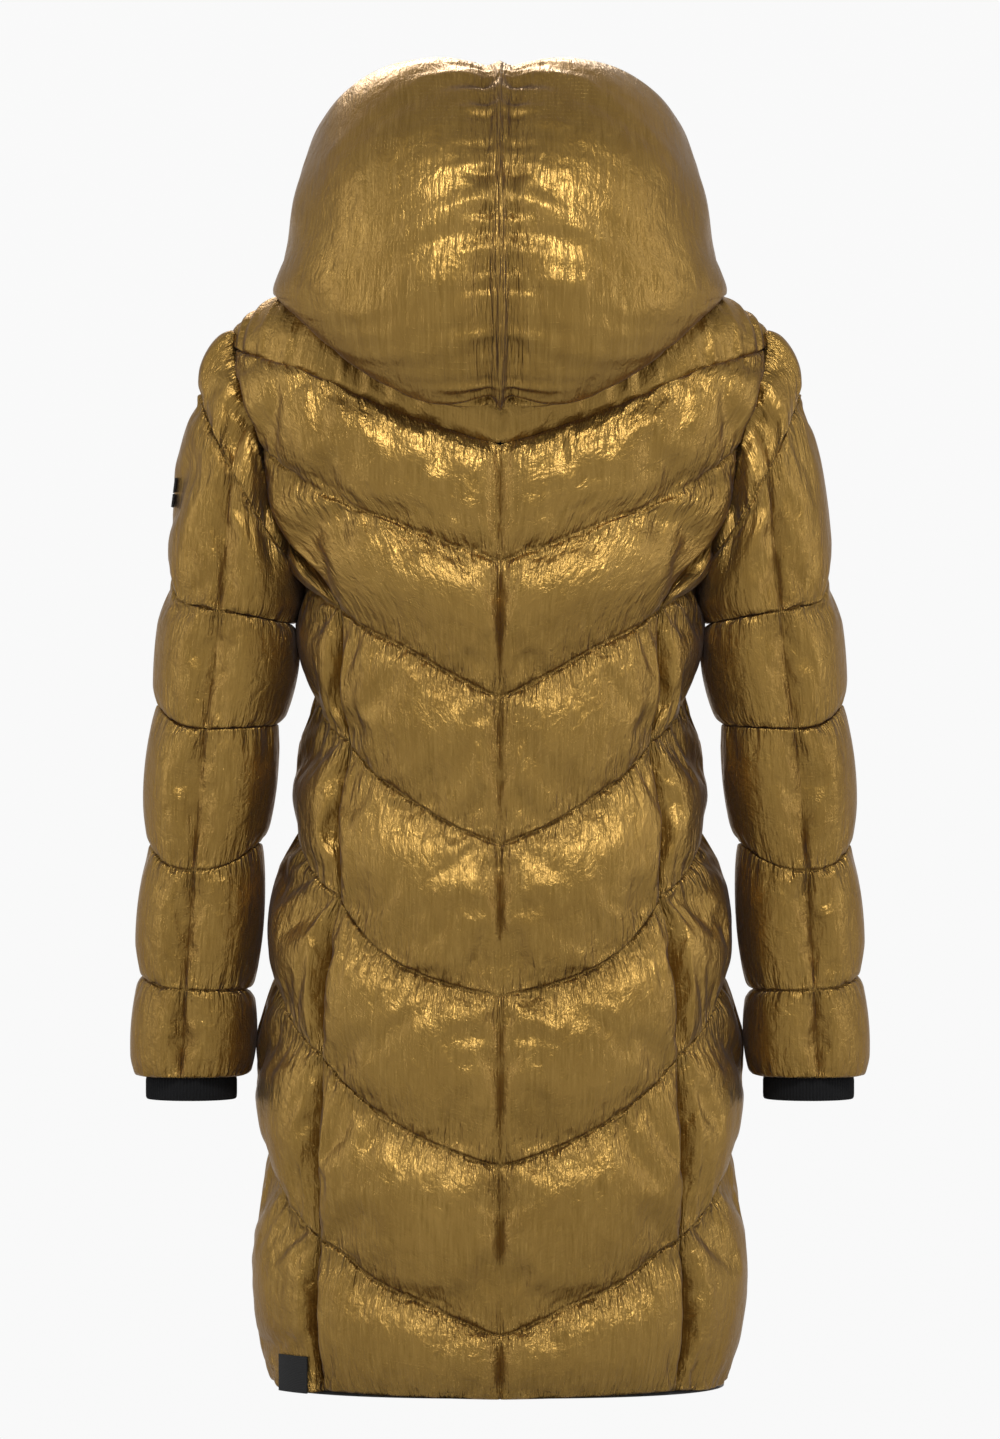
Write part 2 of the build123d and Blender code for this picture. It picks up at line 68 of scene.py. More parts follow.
def curve(table, column=1):
    """A smooth line through a table's rows that doesn't overshoot them."""
    x = np.array([row[0] for row in table], float)
    y = np.array([row[column] for row in table], float)
    step = np.diff(x)
    rate = np.diff(y) / step
    slope = np.zeros_like(x)
    slope[0], slope[-1] = rate[0], rate[-1]
    product = rate[:-1] * rate[1:]
    total = np.where(rate[:-1] + rate[1:] == 0, 1, rate[:-1] + rate[1:])
    slope[1:-1] = np.where(product > 0, 2 * product / total, 0)

    def at(value):
        value = np.clip(np.asarray(value, float), x[0], x[-1])
        i = np.clip(np.searchsorted(x, value, "right") - 1, 0, len(x) - 2)
        t = (value - x[i]) / step[i]
        return (
            y[i] * (1 + 2 * t) * (1 - t) ** 2
            + slope[i] * step[i] * t * (1 - t) ** 2
            + y[i + 1] * t * t * (3 - 2 * t)
            - slope[i + 1] * step[i] * t * t * (1 - t)
        )

    return at


def power(value, exponent):
    return np.sign(value) * np.abs(value) ** exponent


def waves(s, seed, lengths, count=5):
    """A smooth random line along s, its wavelengths between two lengths."""
    random = np.random.default_rng(seed)
    total = np.zeros_like(s)
    for length in np.linspace(*lengths, count):
        total += np.sin(2 * np.pi * s / length + random.uniform(0, 6.28))
    return total / math.sqrt(count)


def noise3(points, seed, size, count=7):
    """Cheap smooth noise in space: a few crossing sine waves of about a size."""
    random = np.random.default_rng(seed)
    total = np.zeros(points.shape[:-1])
    for _ in range(count):
        way = random.normal(size=3)
        way *= 2 * np.pi / (np.linalg.norm(way) * size * random.uniform(0.7, 1.4))
        total += np.sin(points @ way + random.uniform(0, 6.28))
    return total / math.sqrt(count)


# ---------------------------------------------------------------- the coat's measures

# Height, half width and depth behind the side line, all where the stitching lies.
BODY = [
    (0, 198, 140),
    (120, 199, 141),
    (220, 199, 140),
    (306, 197, 137),
    (365, 192, 133),
    (453, 179, 126),
    (510, 168, 121),
    (590, 158, 118),
    (654, 162, 120),
    (700, 168, 122),
    (738, 178, 122),
    (766, 194, 120),
    (825, 223, 116),
    (877, 237, 107),
    (910, 236, 99),
    (940, 236, 92),
    (985, 236, 84),
]
SQUARE = 2.4
body_width = curve(BODY, 1)
back_depth = curve(BODY, 2)


def front_depth(height):
    return 141 - 0.012 * height


PRINCESS = [
    (0, 153.6),
    (155, 157),
    (206, 156),
    (294, 154.4),
    (355, 150),
    (407, 144),
    (431, 139),
    (503, 135),
    (565, 131.5),
    (602, 134),
    (648, 136),
    (678, 140),
    (721, 160),
    (766, 188),
]
princess = curve(PRINCESS)
UNDERARM = 738.0
PRINCESS_TOP = 766.0
SHOULDER_POINT = 924.0
ARMHOLE = [
    (738, 178),
    (752, 182),
    (766, 188),
    (783, 198),
    (806, 205),
    (839, 213),
    (858, 220),
    (877, 224),
    (891, 229),
    (912, 232.5),
]
armhole = curve(ARMHOLE)

# Stitch lines, from the hem up: heights at shares of the way from the centre seam to
# the panel's far edge, and the heights where each one meets the side line.
CENTRE_LINES = [
    [(0, 0), (1, 4)],
    [(0, 55), (0.27, 79), (0.6, 103), (0.84, 127), (1, 137)],
    [(0, 201), (0.43, 233), (0.76, 266), (1, 294)],
    [(0, 347), (0.33, 364), (0.6, 385), (0.8, 407), (1, 431)],
    [(0, 477), (0.46, 516), (0.73, 538), (1, 565)],
    [(0, 605), (0.48, 646), (0.71, 660), (1, 681)],
    [(0, 722), (0.38, 759), (0.59, 779), (0.8, 802), (1, 825)],
    [(0, 823), (0.23, 848), (0.43, 870), (0.64, 893), (1, 911)],
]
SIDE_HEIGHTS = [7, 222, 372, 497, 616, 722]
TUCK = 3.0
FRONT_EDGE = 8.6
FRONT_SHARE = 0.72
# The neck's edge: how far it lies from the middle, and its height.
NECK_BACK = (74.0, 972.0)
NECK_SIDE = (94.0, 978.0)
NECK_FRONT_HEIGHT = 932.0


def body_y(x, height, back=True):
    """How far behind or before the side line the body's surface lies."""
    reach = np.clip(np.abs(x) / body_width(height), 0, 1)
    depth = back_depth(height) if back else -front_depth(height)
    return depth * (1 - reach**SQUARE) ** (1 / SQUARE)


def body_point(share, height, start_x, end_x, back):
    """A point on the body at a share of the way between two vertical lines."""
    width = body_width(height)
    first = np.arccos(np.clip(start_x / width, 0, 1) ** (SQUARE / 2))
    last = np.arccos(np.clip(end_x / width, 0, 1) ** (SQUARE / 2))
    angle = first + (last - first) * share
    depth = back_depth(height) if back else -front_depth(height)
    x = width * power(np.cos(angle), 2 / SQUARE)
    y = depth * power(np.sin(angle), 2 / SQUARE)
    return np.stack([x, y, height + 0 * x], -1)


# ---------------------------------------------------------------- grids


def spread(count, crowd=0.1):
    """Shares from 0 to 1, a little closer together at both ends."""
    t = np.linspace(0, 1, count + 1)
    return t - crowd * np.sin(2 * np.pi * t) / (2 * np.pi) * 2


class Patch:
    """A grid of points, how hard each is held, and its place in the flat cloth."""

    def __init__(self, points, hold, flip=False, gather=None):
        self.points = points
        self.hold = hold
        self.flip = flip
        self.gather = gather

    def copy(self):
        return Patch(self.points.copy(), self.hold, self.flip, self.gather)

    def mirrored(self):
        points = self.points * (-1, 1, 1)
        return Patch(points, self.hold, not self.flip, self.gather)

    def gathers(self):
        """How strongly the fabric is gathered at each point, from 0 to 1."""
        if self.gather is None:
            return np.zeros(self.points.shape[:2])
        return self.gather

    def normals(self):
        across = np.gradient(self.points, axis=1)
        along = np.gradient(self.points, axis=0)
        normal = np.cross(across, along)
        if self.flip:
            normal = -normal
        length = np.linalg.norm(normal, axis=-1, keepdims=True)
        return normal / np.maximum(length, 1e-9)

    def faces(self, offset):
        rows, columns = self.points.shape[:2]
        index = offset + np.arange(rows * columns).reshape(rows, columns)
        quads = [index[:-1, :-1], index[:-1, 1:], index[1:, 1:], index[1:, :-1]]
        if self.flip:
            quads.reverse()
        return np.stack(quads, -1).reshape(-1, 4)

    def cloth(self):
        """Millimetres along and up the cloth, for the weave."""
        across = np.linalg.norm(np.diff(self.points, axis=1), axis=-1).mean(0)
        x = np.concatenate([[0], np.cumsum(across)])
        along = np.linalg.norm(np.diff(self.points, axis=0), axis=-1).mean(1)
        y = np.concatenate([[0], np.cumsum(along)])
        grid = np.zeros(self.points.shape)
        grid[..., 0] = x[None, :]
        grid[..., 1] = y[:, None]
        grid[..., 2] = self.points[..., 0].mean()
        return grid


def quilted(point_at, lines, columns, row_size, seed, puff, sides=(0.0, 0.0)):
    """A panel whose rows of stitching are the given lines.

    point_at(share, height) gives a point; lines are functions of the share. The fabric
    rises by puff millimetres between two lines, with small gathers beside the lines.
    """
    share = spread(columns, 0.06)
    rows, hold, swell, near = [], [], [], []
    for k, (low, high) in enumerate(zip(lines, lines[1:])):
        bottom, top = low(share), high(share)
        count = max(6, int(np.max(top - bottom) / row_size))
        steps = spread(count, 0.3)
        last = k == len(lines) - 2
        for step in steps if last else steps[:-1]:
            rows.append(point_at(share, bottom + (top - bottom) * step))
            hold.append(np.full(columns + 1, float(step in (0.0, 1.0))))
            swell.append(np.full(columns + 1, math.sin(math.pi * step)))
            gap = min(step, 1 - step) * np.mean(top - bottom)
            near.append(np.full(columns + 1, math.exp(-gap / 17)))
    points, hold = np.array(rows), np.array(hold)
    swell, near = np.array(swell), np.array(near)
    # At an edge with no fold, and at the centre seam, the puffs run on unbroken.
    edge = np.minimum(1, np.sin(np.pi * share) * 4.5) ** 0.6
    side = np.ones(columns + 1)
    half = columns // 2
    for part, kept in ((slice(0, half), sides[0]), (slice(half, None), sides[1])):
        side[part] = kept + (1 - kept) * edge[part]
    hold[:, 0] = 1
    hold[:, -1] = 1
    patch = Patch(points, hold)
    normal = patch.normals()
    if sides[0] and sides[1] == 0:
        normal[:, 0, 0] = 0
    if normal[..., 1].mean() * points[..., 1].mean() < 0:
        patch.flip = True
        normal = -normal
    width = np.linalg.norm(np.diff(points, axis=1), axis=-1)
    s = np.concatenate([np.zeros((len(points), 1)), np.cumsum(width, axis=1)], 1)
    row = np.arange(len(points))[:, None] * row_size
    gathers = waves(s + 0.25 * row, seed, (10, 21)) * near * (1 - hold) * 1.3
    gathers += waves(s - 0.2 * row, seed + 1, (30, 75)) * (1 - hold) * 0.6
    lift = puff * swell**0.75 * side - TUCK * hold + gathers
    patch.points = points + normal * lift[..., None]
    patch.gather = near
    return patch


def build(name, patches, body=None, material=None, hidden=()):
    """Makes one object out of patches. Its points are held as the patches say."""
    points, faces, hold, cloth, gather, start = [], [], [], [], [], 0
    for patch in patches:
        gather.append(patch.gathers().reshape(-1))
        points.append(patch.points.reshape(-1, 3))
        faces.append(patch.faces(start))
        hold.append(patch.hold.reshape(-1))
        cloth.append(patch.cloth().reshape(-1, 3))
        start += len(points[-1])
    points = np.concatenate(points)
    mesh = bpy.data.meshes.new(name)
    mesh.from_pydata(to_frame(points).tolist(), [], np.concatenate(faces).tolist())
    mesh.attributes.new("cloth", "FLOAT_VECTOR", "POINT")
    mesh.attributes["cloth"].data.foreach_set("vector", np.concatenate(cloth).ravel())
    mesh.attributes.new("gather", "FLOAT", "POINT")
    mesh.attributes["gather"].data.foreach_set("value", np.concatenate(gather))
    mesh.shade_smooth()
    obj = bpy.data.objects.new(name, mesh)
    bpy.context.scene.collection.objects.link(obj)
    hold = np.concatenate(hold)
    group = obj.vertex_groups.new(name="hold")
    for weight in np.unique(np.round(hold, 2)):
        chosen = np.nonzero(np.abs(hold - weight) < 0.005)[0]
        if weight > 0:
            group.add(chosen.tolist(), float(weight), "REPLACE")
    if material:
        mesh.materials.append(material)
    if hidden:
        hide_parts(*hidden)
    if body:
        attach(obj, body)
    return obj


def to_frame(points):
    return np.asarray(points, float) / 1000 + (0, SIDE_Y, HEM_Z)


def at(x, y, z):
    return tuple(to_frame((x, y, z)))


# ---------------------------------------------------------------- cloth

padded = []


def pad(obj, pressure, slack, cap):
    """Gives a piece to the cloth run. slack is the share of extra fabric."""
    padded.append((obj, pressure, slack, cap))


def run_cloth():
    """Runs the cloth of every padded piece together, then keeps the result."""
    starts = {}
    for obj, pressure, slack, _ in padded:
        start = np.empty(len(obj.data.vertices) * 3)
        obj.data.vertices.foreach_get("co", start)
        starts[obj.name] = start.reshape(-1, 3)
        cloth = obj.modifiers.new("cloth", "CLOTH")
        settings = cloth.settings
        settings.quality = 5
        settings.mass = 0.25
        settings.tension_stiffness = 18
        settings.compression_stiffness = 14
        settings.shear_stiffness = 6
        settings.bending_stiffness = 0.6
        settings.tension_damping = 12
        settings.compression_damping = 12
        settings.shear_damping = 8
        settings.air_damping = 2
        settings.use_pressure = True
        settings.uniform_pressure_force = pressure
        settings.shrink_min = -slack
        settings.shrink_max = -slack
        settings.vertex_group_mass = "hold"
        settings.pin_stiffness = 1.0
        settings.effector_weights.gravity = 0
        cloth.collision_settings.use_collision = False
        cloth.collision_settings.use_self_collision = False
        cloth.point_cache.frame_start = 1
        cloth.point_cache.frame_end = FRAMES
    scene = bpy.context.scene
    for number in range(1, FRAMES + 1):
        scene.frame_set(number)
    graph = bpy.context.evaluated_depsgraph_get()
    for obj, _, _, cap in padded:
        mesh = obj.evaluated_get(graph).to_mesh()
        found = np.empty(len(mesh.vertices) * 3)
        mesh.vertices.foreach_get("co", found)
        start = starts[obj.name]
        move = found.reshape(-1, 3) - start
        length = np.linalg.norm(move, axis=1, keepdims=True)
        limit = cap / 1000
        soft = limit * np.tanh(length / limit) / np.maximum(length, 1e-9)
        obj.data.vertices.foreach_set("co", (start + move * soft).ravel())
        obj.evaluated_get(graph).to_mesh_clear()
        print(obj.name, "moved", round(float(length.mean() * 1000), 1), "mm")
    for obj, _, _, _ in padded:
        obj.modifiers.clear()
        obj.data.update()
    scene.frame_set(1)


def finer(obj):
    """One subdivision, which rounds the grid's small folds."""
    smooth = obj.modifiers.new("finer", "SUBSURF")
    smooth.levels = smooth.render_levels = 1
    return obj


# ---------------------------------------------------------------- materials


class Shader:
    """A small helper that builds a material's nodes in the order they are read."""

    def __init__(self, name, color, roughness, metallic=0.0, on_cad=False):
        self.on_cad = on_cad
        self.material = bpy.data.materials.new(name)
        self.material.use_nodes = True
        self.tree = self.material.node_tree
        self.surface = self.tree.nodes["Principled BSDF"]
        self.surface.inputs["Base Color"].default_value = (*color, 1)
        self.surface.inputs["Roughness"].default_value = roughness
        self.surface.inputs["Metallic"].default_value = metallic
        self.last_normal = None

    def node(self, kind, values=None, **settings):
        node = self.tree.nodes.new(kind)
        for key, value in settings.items():
            setattr(node, key, value)
        for key, value in (values or {}).items():
            if isinstance(value, bpy.types.NodeSocket):
                self.tree.links.new(value, node.inputs[key])
            else:
                node.inputs[key].default_value = value
        return node

    def place(self, scale, attribute="cloth", turn=0.0):
        """Coordinates in the cloth, or in the object, stretched by a scale."""
        if attribute and self.on_cad:
            # A CAD piece has no flat cloth, so its metres stand in: z runs up.
            across, up, _ = scale
            scale = (1000 * across, 1000 * across, 1000 * up)
            socket = self.node("ShaderNodeTexCoord").outputs["Object"]
        elif attribute:
            source = self.node("ShaderNodeAttribute", attribute_name=attribute)
            socket = source.outputs["Vector"]
        else:
            socket = self.node("ShaderNodeTexCoord").outputs["Object"]
        values = {"Vector": socket, "Scale": scale, "Rotation": (0, 0, turn)}
        return self.node("ShaderNodeMapping", values).outputs["Vector"]

    def noise(self, scale, size=1.0, detail=2.0, rough=0.5, attribute="cloth", warp=0.0):
        values = {
            "Vector": self.place(scale, attribute),
            "Scale": size,
            "Detail": detail,
            "Roughness": rough,
            "Distortion": warp,
        }
        return self.node("ShaderNodeTexNoise", values).outputs["Fac"]

    def bump(self, height, distance, strength=1.0):
        values = {"Height": height, "Distance": distance, "Strength": strength}
        if self.last_normal:
            values["Normal"] = self.last_normal
        self.last_normal = self.node("ShaderNodeBump", values).outputs["Normal"]
        self.tree.links.new(self.last_normal, self.surface.inputs["Normal"])
        self.tree.links.new(self.last_normal, self.surface.inputs["Coat Normal"])

    def math(self, operation, a, b=0.0, c=0.0):
        node = self.node("ShaderNodeMath", operation=operation)
        for i, value in enumerate((a, b, c)):
            if isinstance(value, bpy.types.NodeSocket):
                self.tree.links.new(value, node.inputs[i])
            else:
                node.inputs[i].default_value = value
        return node.outputs[0]

    def ramp(self, factor, low, high):
        """Maps a noise's middle range to 0 to 1."""
        values = {"Value": factor, "From Min": low, "From Max": high}
        return self.node("ShaderNodeMapRange", values).outputs["Result"]

    def mix(self, factor, first, second):
        node = self.node("ShaderNodeMix", data_type="RGBA")
        self.tree.links.new(factor, node.inputs["Factor"])
        for socket, color in ((node.inputs[6], first), (node.inputs[7], second)):
            if isinstance(color, bpy.types.NodeSocket):
                self.tree.links.new(color, socket)
            else:
                socket.default_value = (*color, 1)
        return node.outputs[2]

    def set(self, socket, value):
        if isinstance(value, bpy.types.NodeSocket):
            self.tree.links.new(value, self.surface.inputs[socket])
        else:
            self.surface.inputs[socket].default_value = value


def gold_cloth(name="gold_nylon", on_cad=False):
    """Thin metallic nylon with a ripstop grid, upright crinkles, a soft shine and a greyish
    sheen painted into its colour at grazing angles.
    """
    shader = Shader(name, (0.4, 0.24, 0.055), 0.4, 0.92, on_cad)
    streaks = shader.noise((0.42, 0.035, 1), detail=3, rough=0.65)
    crumple = shader.noise((0.075, 0.06, 1), detail=4, rough=0.6, warp=0.4)
    slow = shader.noise((9, 9, 9), detail=3, attribute=None)
    tone = shader.mix(
        shader.ramp(streaks, 0.3, 0.7), (0.18, 0.1, 0.015), (0.285, 0.172, 0.04)
    )
    worn = shader.mix(shader.ramp(slow, 0.35, 0.7), (0.19, 0.107, 0.019), (0.275, 0.163, 0.036))
    shade = shader.mix(shader.ramp(crumple, 0.35, 0.65), tone, worn)
    # Painted sheen: towards grazing angles the colour is mixed to a grey-brown (0.2, 0.15,
    # 0.12). This is a painted greyish reflection along the edges of the folds and the
    # silhouette.
    painted_sheen_facing = shader.node("ShaderNodeLayerWeight", {"Blend": 0.4}).outputs["Facing"]
    edge = shader.ramp(painted_sheen_facing, 0.45, 1.15)
    shader.set("Base Color", shader.mix(edge, shade, (0.2, 0.15, 0.12)))
    rough = shader.ramp(crumple, 0.2, 0.8)
    shader.set("Roughness", shader.math("MULTIPLY_ADD", rough, 0.14, 0.27))
    shader.set("Specular Tint", (0.55, 0.42, 0.28, 1))
    shader.set("Coat Weight", 0.22)
    shader.set("Coat Roughness", 0.26)
    shader.set("Sheen Weight", 0.06)
    shader.set("Sheen Tint", (0.75, 0.62, 0.62, 1))
    gather = shader.node("ShaderNodeAttribute", attribute_name="gather").outputs["Fac"]
    tucks = shader.noise((0.16, 0.028, 1), detail=3, rough=0.6)
    shader.bump(shader.math("MULTIPLY", tucks, gather), 0.012, 0.9)
    shader.bump(crumple, 0.0042, 0.6)
    shader.bump(streaks, 0.0008, 0.6)
    place = shader.place((1, 1, 1))
    axes = shader.node("ShaderNodeSeparateXYZ", {"Vector": place})
    lines = []
    for axis in ("X", "Z" if on_cad else "Y"):
        wave = shader.math("PINGPONG", axes.outputs[axis], 1.4)
        lines.append(shader.math("GREATER_THAN", wave, 1.18))
    grid = shader.math("MAXIMUM", *lines)
    shader.bump(grid, 0.00012, 0.6)
    return shader.material


def lining_cloth(name="lining_satin", on_cad=False):
    shader = Shader(name, (0.012, 0.011, 0.012), 0.42, 0.0, on_cad)
    twill = shader.noise((1.2, 0.25, 1), detail=2)
    folds = shader.noise((0.03, 0.012, 1), detail=3)
    shader.set(
        "Base Color",
        shader.mix(shader.ramp(folds, 0.3, 0.7), (0.01, 0.009, 0.01), (0.022, 0.02, 0.021)),
    )
    shader.set("Sheen Weight", 0.2)
    shader.bump(folds, 0.002, 0.5)
    shader.bump(twill, 0.0002, 0.4)
    return shader.material


def knit_cloth():
    shader = Shader("rib_knit", (0.005, 0.005, 0.005), 0.95)
    loops = shader.noise((1.6, 0.9, 1), detail=3, rough=0.7)
    shader.set(
        "Base Color",
        shader.mix(shader.ramp(loops, 0.3, 0.7), (0.003, 0.003, 0.003), (0.008, 0.008, 0.009)),
    )
    shader.set("Specular IOR Level", 0.2)
    shader.bump(loops, 0.0005, 0.7)
    return shader.material


def woven_tape(name="woven_tape", color=(0.005, 0.005, 0.005)):
    shader = Shader(name, color, 0.75)
    place = shader.place((1, 1, 1), attribute=None)
    threads = shader.node(
        "ShaderNodeTexWave",
        {"Vector": place, "Scale": 420.0, "Distortion": 1.5, "Detail": 1.0},
        wave_type="BANDS",
        bands_direction="DIAGONAL",
    ).outputs["Fac"]
    lighter = tuple(min(1.0, c * 2.2) for c in color)
    shader.set("Base Color", shader.mix(threads, color, lighter))
    shader.set("Specular IOR Level", 0.25)
    shader.bump(threads, 0.0002, 0.7)
    return shader.material


def zip_metal():
    shader = Shader("zip_metal", (0.42, 0.29, 0.11), 0.3, 1.0)
    wear = shader.noise((160, 160, 160), detail=4, attribute=None)
    shader.set(
        "Base Color",
        shader.mix(shader.ramp(wear, 0.35, 0.7), (0.30, 0.2, 0.075), (0.55, 0.4, 0.17)),
    )
    shader.set("Roughness", shader.math("MULTIPLY_ADD", wear, 0.3, 0.16))
    shader.bump(wear, 0.0002, 0.3)
    return shader.material


GOLD = gold_cloth()
GOLD_TRIM = gold_cloth("gold_nylon_trim", True)
LINING = lining_cloth()
LINING_TRIM = lining_cloth("lining_satin_trim", True)
KNIT = knit_cloth()
TAPE = woven_tape()
METAL = zip_metal()

# ---------------------------------------------------------------- body

GRID = 4.6


def straight(first, last, sag=0.0):
    return lambda share: first + (last - first) * share - sag * np.sin(np.pi * share)


def far_edge(height):
    """Where the centre-back panel ends: the princess seam, then the armhole."""
    return np.where(height < PRINCESS_TOP, princess(height), armhole(height))


def front_seam(height):
    seam = princess(height) * FRONT_SHARE
    top = armhole(height)
    blend = np.clip((height - 700) / 66, 0, 1)
    return np.where(height < 700, seam, seam + (top - seam) * blend**2)


def back_point(share, height):
    return body_point(1 - share, height, far_edge(height), 0 * height, True)


def front_point(share, height):
    edge = FRONT_EDGE + 0 * height
    return body_point(1 - share, height, front_seam(height), edge, False)


def side_back_point(share, height):
    return body_point(share, height, princess(height), body_width(height), True)


def side_front_point(share, height):
    return body_point(share, height, front_seam(height), body_width(height), False)


centre_lines = [curve(rows) for rows in CENTRE_LINES]
edge_heights = [rows[-1][1] for rows in CENTRE_LINES]
side_lines = [
    straight(edge, side, 3.0) for edge, side in zip(edge_heights, SIDE_HEIGHTS)
]
side_lines.append(straight(PRINCESS_TOP, UNDERARM))


def yoke_patch(back, seed):
    """The shoulder, from the top stitch line up to the neck and the shoulder ridge."""
    columns = int(235 / GRID)
    share = spread(columns, 0.06)
    bottom_height = centre_lines[-1](share)
    point = back_point if back else front_point
    bottom = point(share, bottom_height)
    turn = np.clip(share / 0.45, 0, 1) * np.pi / 2
    side_x, side_z = NECK_SIDE
    depth, start_z = NECK_BACK if back else (-front_depth(905.0) + 3, NECK_FRONT_HEIGHT)
    neck = np.stack(
        [
            np.maximum(side_x * np.sin(turn), 0 if back else FRONT_EDGE),
            depth * np.cos(turn),
            start_z + (side_z - start_z) * (1 - np.cos(turn)),
        ],
        -1,
    )
    along = np.clip((share - 0.45) / 0.55, 0, 1)[:, None]
    tip = np.array([232.5, 0.0, SHOULDER_POINT + 2])
    ridge = np.array([side_x, 0, side_z]) * (1 - along) + tip * along
    ridge[:, 2] += 20 * np.sin(np.pi * along[:, 0]) ** 0.6
    top = np.where(share[:, None] < 0.45, neck, ridge)
    count = max(8, int(110 / GRID))
    steps = spread(count, 0.2)
    rows = []
    for step in steps:
        row = bottom * (1 - step) + top * step
        row[:, 1] += (12 if back else -8) * math.sin(math.pi * step) * (1 - share)
        row[:, 2] += 5 * math.sin(math.pi * step)
        rows.append(row)
    points = np.array(rows)
    hold = np.zeros(points.shape[:2])
    hold[0], hold[-1], hold[:, 0], hold[:, -1] = 1, 1, 1, 1
    patch = Patch(points, hold)
    if (patch.normals()[..., 1].mean() > 0) != back:
        patch.flip = True
    normal = patch.normals()
    s = np.linspace(0, 235, columns + 1)[None, :]
    pleats = waves(s, seed, (10, 22)) * (1 - hold) * 1.2
    swell = np.sin(np.pi * steps)[:, None] ** 0.6
    tuck = np.zeros(points.shape[:2])
    tuck[0] = TUCK
    lift = 8 * swell * np.sin(np.pi * np.clip(share, 0, 0.97)) ** 0.4 - tuck + pleats
    patch.points = points + normal * lift[..., None]
    return patch


def on_side(left_patches, side):
    """The left side's patches as they are, or mirrored for the right side."""
    if side == "left":
        return left_patches
    return [patch.mirrored() for patch in left_patches]


def both_sides(patches):
    return patches + on_side(patches, "right")


def smooth(value, low, high):
    t = np.clip((value - low) / (high - low), 0, 1)
    return t * t * (3 - 2 * t)


def outer_y(x, height, back):
    """Where the CAD part's outer surface lies."""
    reach = np.clip(np.abs(x) / (body_width(height) + 9.3), 0, 1)
    depth = back_depth(height) + 10.2 if back else -front_depth(height) - 9
    return depth * (1 - reach**SQUARE) ** (1 / SQUARE)


def coat_box(node):
    """A CAD node's box in the coat's own millimetres."""
    return [(np.array(corner) - (0, SIDE_Y, HEM_Z)) * 1000 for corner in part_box(node)]


def flat_at_pocket(patch):
    """Draws the fabric down to the pocket's welt, where it is sewn on."""
    low, high = coat_box("left_pocket_welt")
    x, _, height = np.moveaxis(patch.points, -1, 0)
    share = (height - low[2]) / (high[2] - low[2])
    inside = np.clip(share, 0, 1)
    line_x = (high[0] - 8) * (1 - inside) + (low[0] + 8) * inside
    gap = np.hypot(x - line_x, (share - inside) * (high[2] - low[2]))
    free = smooth(gap, 15, 42)
    sewn = outer_y(x, height, False) + 3
    patch.points[..., 1] = sewn * (1 - free) + patch.points[..., 1] * free
    patch.hold = np.where(gap < 17, 1.0, patch.hold)


def flat_at_label(patch):
    """Draws the fabric up to the label sewn on the back of the hem."""
    low, high = coat_box("hem_label")
    x, _, height = np.moveaxis(patch.points, -1, 0)
    past_x = np.maximum(low[0] - x, x - high[0])
    past_z = height - high[2]
    gap = np.hypot(np.maximum(past_x, 0), np.maximum(past_z, 0))
    # The panel's own two edges stay where their neighbours meet them.
    share = np.linspace(0, 1, x.shape[1])[None, :]
    edges = np.maximum(1 - smooth(share, 0, 0.13), smooth(share, 0.64, 0.96))
    free = np.maximum(smooth(gap, 3, 26), edges)
    sewn = outer_y(x, height, True) - 1.2
    patch.points[..., 1] = sewn * (1 - free) + patch.points[..., 1] * free
    patch.hold = np.where(gap < 4, 1.0, patch.hold)


PUFF = 15.0
back_columns, side_columns = int(165 / GRID), int(150 / GRID)
back_panel = quilted(back_point, centre_lines, back_columns, GRID, 11, PUFF, (0.6, 0.0))
side_back = quilted(side_back_point, side_lines, side_columns, GRID, 23, PUFF, (0.0, 1.0))
side_front = quilted(side_front_point, side_lines, side_columns, GRID, 37, PUFF, (0.0, 1.0))
front_panel = quilted(front_point, centre_lines, back_columns, GRID, 53, PUFF * 0.8)
for panel in (front_panel, side_front):
    flat_at_pocket(panel)

# Each panel's patches and the CAD nodes it stands for.
PANELS = {
    "back": ([back_panel, yoke_patch(True, 71)], ("back_shell", "back_wadding")),
    "side_back": ([side_back], ("side_back_shell",)),
    "side_front": ([side_front], ("side_front_shell",)),
    "front": ([front_panel, yoke_patch(False, 83)], ("front_shell", "front_wadding")),
}
shell = []
for name, (left_patches, stands_for) in PANELS.items():
    for side in ("left", "right"):
        patches = on_side(left_patches, side)
        if side == "left" and name == "side_back":
            patches = [side_back.copy()]
            flat_at_label(patches[0])
        nodes = [f"{side}_{node}" for node in stands_for]
        piece = build(f"{side}_{name}_panel", patches, "coat", GOLD, nodes)
        pad(piece, 6.0, 0.035, 16)
        shell.append(piece)

# ---------------------------------------------------------------- sleeves

# Height, centre, half width and half depth of the sleeve where it hangs free.
SLEEVE = [
    (272, 271.5, 47, 50),
    (350, 267.5, 46, 51),
    (404, 264, 47, 52),
    (470, 259, 47, 53),
    (535, 254, 49, 55),
    (588, 247.5, 52, 58),
    (640, 240, 54, 61),
    (690, 235.5, 55, 63),
]
sleeve_centre = curve(SLEEVE, 1)
sleeve_width = curve(SLEEVE, 2)
sleeve_depth = curve(SLEEVE, 3)
SLEEVE_FREE = 690.0
# Millimetres of cloth over the cap, from the free sleeve to the armhole.
CAP_LENGTH = 150
# Stitch lines: heights at the outer edge, the back seam and the inner edge.
SLEEVE_LINES = [
    (272, 272, 272),
    (361, 349, 348),
    (478, 453, 476),
    (599, 577, 580),
    (701, 680, 669),
]
SEAM_ANGLE = math.radians(82)


def sleeve_line(heights):
    """A stitch line around the sleeve as a function of the angle from its outer edge."""
    outer, seam, inner = heights
    turn = 2 * math.pi
    table = [
        (0, outer),
        (SEAM_ANGLE, seam),
        (math.pi, inner),
        (turn - SEAM_ANGLE, seam + 6),
        (turn, outer),
    ]
    return curve(table)


